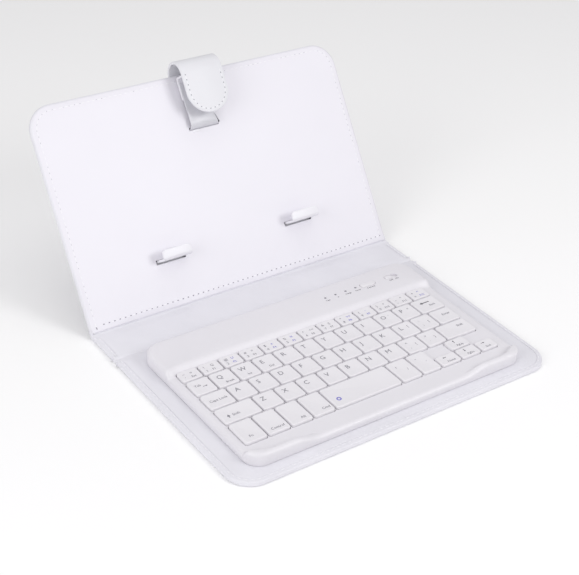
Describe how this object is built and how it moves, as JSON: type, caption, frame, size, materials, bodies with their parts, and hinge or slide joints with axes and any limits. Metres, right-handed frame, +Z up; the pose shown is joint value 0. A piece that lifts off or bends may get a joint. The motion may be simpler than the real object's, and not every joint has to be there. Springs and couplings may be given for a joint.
{
  "type": "tablet keyboard case",
  "caption": "Folding leather-covered case with a slim keyboard on its base, a lid with hooks that hold a phone or small tablet, a closing strap and a fold-out leg.",
  "frame": {"origin": "centre of the base panel's flat underside, on the table", "axes": "+X to the typist's right, +Y from the front edge towards the spine and lid, +Z up"},
  "size_m": [0.2, 0.2203, 0.1157],
  "materials": {
    "white_leather": "fine-grained white polyurethane leather, satin",
    "lining": "smooth white synthetic lining with a fine diagonal weave",
    "board": "grey pulp stiffening board",
    "frame_abs": "moulded white ABS, satin",
    "key_abs": "moulded white ABS, fine matt",
    "hook_plastic": "moulded white nylon, semi-gloss",
    "elastic": "white woven elastic",
    "steel": "nickel-plated steel sheet",
    "magnet": "nickel-plated magnet",
    "rubber": "translucent white silicone rubber",
    "tape": "white foam mounting tape",
    "battery_film": "silver-grey battery film",
    "circuit": "green circuit board",
    "switch_abs": "moulded white ABS",
    "lamp_lens": "clear grey light pipe, unlit"
  },
  "bodies": {
    "base": {"base_cover": "white_leather", "base_board": "board", "base_lining": "lining", "catch_plate": "steel", "keyboard_frame": "frame_abs", "keyboard_tray": "frame_abs", "keyboard_tape": "tape", "support_plate": "steel", "dome_sheet": "rubber", "battery": "battery_film", "circuit_board": "circuit", "charging_socket": "steel", "indicator_lamps": "lamp_lens"},
    "spine": {"spine_cover": "white_leather", "spine_board": "board", "spine_lining": "lining"},
    "lid": {"lid_cover": "white_leather", "lid_board": "board", "lid_lining": "lining", "bottom_hooks": "hook_plastic", "top_band": "elastic", "strap_band": "white_leather"},
    "leg": {"kickstand_leg": "white_leather"},
    "upper_hook": {"top_hook": "hook_plastic"},
    "strap": {"strap_tab": "white_leather", "strap_magnet": "magnet"},
    "switch_knob": {"power_switch": "switch_abs"},
    "pair_button": {"pairing_button": "key_abs"},
    "press_key_Q": {"key_Q": "key_abs"},
    "press_key_W": {"key_W": "key_abs"},
    "press_key_E": {"key_E": "key_abs"},
    "press_key_R": {"key_R": "key_abs"},
    "press_key_T": {"key_T": "key_abs"},
    "press_key_Y": {"key_Y": "key_abs"},
    "press_key_U": {"key_U": "key_abs"},
    "press_key_I": {"key_I": "key_abs"},
    "press_key_O": {"key_O": "key_abs"},
    "press_key_P": {"key_P": "key_abs"},
    "press_key_A": {"key_A": "key_abs"},
    "press_key_S": {"key_S": "key_abs"},
    "press_key_D": {"key_D": "key_abs"},
    "press_key_F": {"key_F": "key_abs"},
    "press_key_G": {"key_G": "key_abs"},
    "press_key_H": {"key_H": "key_abs"},
    "press_key_J": {"key_J": "key_abs"},
    "press_key_K": {"key_K": "key_abs"},
    "press_key_L": {"key_L": "key_abs"},
    "press_key_Z": {"key_Z": "key_abs"},
    "press_key_X": {"key_X": "key_abs"},
    "press_key_C": {"key_C": "key_abs"},
    "press_key_V": {"key_V": "key_abs"},
    "press_key_B": {"key_B": "key_abs"},
    "press_key_N": {"key_N": "key_abs"},
    "press_key_M": {"key_M": "key_abs"},
    "press_key_Backspace": {"key_Backspace": "key_abs"},
    "press_key_Enter": {"key_Enter": "key_abs"},
    "press_key_Space": {"key_Space": "key_abs"},
    "press_number_keys": {"number_keys": "key_abs"},
    "press_modifier_keys": {"modifier_keys": "key_abs"},
    "press_symbol_keys": {"symbol_keys": "key_abs"}
  },
  "joints": [
    {"name": "spine_fold", "type": "hinge", "parent": "base", "child": "spine", "pos_m": [0, 0.0603, 0.0016], "axis": [1, 0, 0], "range_deg": [0, 90]},
    {"name": "lid_fold", "type": "hinge", "parent": "spine", "child": "lid", "pos_m": [0, 0.08618, 0.0016], "axis": [1, 0, 0], "range_deg": [-55.5, 34.5]},
    {"name": "leg_fold", "type": "hinge", "parent": "lid", "child": "leg", "pos_m": [0, 0.13159, 0.06663], "axis": [1, 0, 0], "range_deg": [-52, 0]},
    {"name": "strap_fold", "type": "hinge", "parent": "lid", "child": "strap", "pos_m": [0, 0.15233, 0.10722], "axis": [-1, 0, 0], "range_deg": [0, 150], "deforming": ["strap_band"]},
    {"name": "top_hook_slide", "type": "slide", "parent": "lid", "child": "upper_hook", "axis": [0, -0.5664, -0.8241], "range_m": [0, 0.014], "deforming": ["top_band"]},
    {"name": "power_switch_slide", "type": "slide", "parent": "base", "child": "switch_knob", "axis": [1, 0, 0], "range_m": [0, 0.0034]},
    {"name": "pairing_button_press", "type": "slide", "parent": "base", "child": "pair_button", "axis": [0, 0, -1], "range_m": [0, 0.0005], "stiffness_N_per_m": 600},
    {"name": "key_Q_press", "type": "slide", "parent": "base", "child": "press_key_Q", "axis": [0, 0, -1], "range_m": [0, 0.0012], "stiffness_N_per_m": 300},
    {"name": "key_W_press", "type": "slide", "parent": "base", "child": "press_key_W", "axis": [0, 0, -1], "range_m": [0, 0.0012], "stiffness_N_per_m": 300},
    {"name": "key_E_press", "type": "slide", "parent": "base", "child": "press_key_E", "axis": [0, 0, -1], "range_m": [0, 0.0012], "stiffness_N_per_m": 300},
    {"name": "key_R_press", "type": "slide", "parent": "base", "child": "press_key_R", "axis": [0, 0, -1], "range_m": [0, 0.0012], "stiffness_N_per_m": 300},
    {"name": "key_T_press", "type": "slide", "parent": "base", "child": "press_key_T", "axis": [0, 0, -1], "range_m": [0, 0.0012], "stiffness_N_per_m": 300},
    {"name": "key_Y_press", "type": "slide", "parent": "base", "child": "press_key_Y", "axis": [0, 0, -1], "range_m": [0, 0.0012], "stiffness_N_per_m": 300},
    {"name": "key_U_press", "type": "slide", "parent": "base", "child": "press_key_U", "axis": [0, 0, -1], "range_m": [0, 0.0012], "stiffness_N_per_m": 300},
    {"name": "key_I_press", "type": "slide", "parent": "base", "child": "press_key_I", "axis": [0, 0, -1], "range_m": [0, 0.0012], "stiffness_N_per_m": 300},
    {"name": "key_O_press", "type": "slide", "parent": "base", "child": "press_key_O", "axis": [0, 0, -1], "range_m": [0, 0.0012], "stiffness_N_per_m": 300},
    {"name": "key_P_press", "type": "slide", "parent": "base", "child": "press_key_P", "axis": [0, 0, -1], "range_m": [0, 0.0012], "stiffness_N_per_m": 300},
    {"name": "key_A_press", "type": "slide", "parent": "base", "child": "press_key_A", "axis": [0, 0, -1], "range_m": [0, 0.0012], "stiffness_N_per_m": 300},
    {"name": "key_S_press", "type": "slide", "parent": "base", "child": "press_key_S", "axis": [0, 0, -1], "range_m": [0, 0.0012], "stiffness_N_per_m": 300},
    {"name": "key_D_press", "type": "slide", "parent": "base", "child": "press_key_D", "axis": [0, 0, -1], "range_m": [0, 0.0012], "stiffness_N_per_m": 300},
    {"name": "key_F_press", "type": "slide", "parent": "base", "child": "press_key_F", "axis": [0, 0, -1], "range_m": [0, 0.0012], "stiffness_N_per_m": 300},
    {"name": "key_G_press", "type": "slide", "parent": "base", "child": "press_key_G", "axis": [0, 0, -1], "range_m": [0, 0.0012], "stiffness_N_per_m": 300},
    {"name": "key_H_press", "type": "slide", "parent": "base", "child": "press_key_H", "axis": [0, 0, -1], "range_m": [0, 0.0012], "stiffness_N_per_m": 300},
    {"name": "key_J_press", "type": "slide", "parent": "base", "child": "press_key_J", "axis": [0, 0, -1], "range_m": [0, 0.0012], "stiffness_N_per_m": 300},
    {"name": "key_K_press", "type": "slide", "parent": "base", "child": "press_key_K", "axis": [0, 0, -1], "range_m": [0, 0.0012], "stiffness_N_per_m": 300},
    {"name": "key_L_press", "type": "slide", "parent": "base", "child": "press_key_L", "axis": [0, 0, -1], "range_m": [0, 0.0012], "stiffness_N_per_m": 300},
    {"name": "key_Z_press", "type": "slide", "parent": "base", "child": "press_key_Z", "axis": [0, 0, -1], "range_m": [0, 0.0012], "stiffness_N_per_m": 300},
    {"name": "key_X_press", "type": "slide", "parent": "base", "child": "press_key_X", "axis": [0, 0, -1], "range_m": [0, 0.0012], "stiffness_N_per_m": 300},
    {"name": "key_C_press", "type": "slide", "parent": "base", "child": "press_key_C", "axis": [0, 0, -1], "range_m": [0, 0.0012], "stiffness_N_per_m": 300},
    {"name": "key_V_press", "type": "slide", "parent": "base", "child": "press_key_V", "axis": [0, 0, -1], "range_m": [0, 0.0012], "stiffness_N_per_m": 300},
    {"name": "key_B_press", "type": "slide", "parent": "base", "child": "press_key_B", "axis": [0, 0, -1], "range_m": [0, 0.0012], "stiffness_N_per_m": 300},
    {"name": "key_N_press", "type": "slide", "parent": "base", "child": "press_key_N", "axis": [0, 0, -1], "range_m": [0, 0.0012], "stiffness_N_per_m": 300},
    {"name": "key_M_press", "type": "slide", "parent": "base", "child": "press_key_M", "axis": [0, 0, -1], "range_m": [0, 0.0012], "stiffness_N_per_m": 300},
    {"name": "key_Backspace_press", "type": "slide", "parent": "base", "child": "press_key_Backspace", "axis": [0, 0, -1], "range_m": [0, 0.0012], "stiffness_N_per_m": 300},
    {"name": "key_Enter_press", "type": "slide", "parent": "base", "child": "press_key_Enter", "axis": [0, 0, -1], "range_m": [0, 0.0012], "stiffness_N_per_m": 300},
    {"name": "key_Space_press", "type": "slide", "parent": "base", "child": "press_key_Space", "axis": [0, 0, -1], "range_m": [0, 0.0012], "stiffness_N_per_m": 300},
    {"name": "number_keys_press", "type": "slide", "parent": "base", "child": "press_number_keys", "axis": [0, 0, -1], "range_m": [0, 0.0012], "stiffness_N_per_m": 3900},
    {"name": "modifier_keys_press", "type": "slide", "parent": "base", "child": "press_modifier_keys", "axis": [0, 0, -1], "range_m": [0, 0.0012], "stiffness_N_per_m": 2400},
    {"name": "symbol_keys_press", "type": "slide", "parent": "base", "child": "press_symbol_keys", "axis": [0, 0, -1], "range_m": [0, 0.0012], "stiffness_N_per_m": 2700}
  ]
}
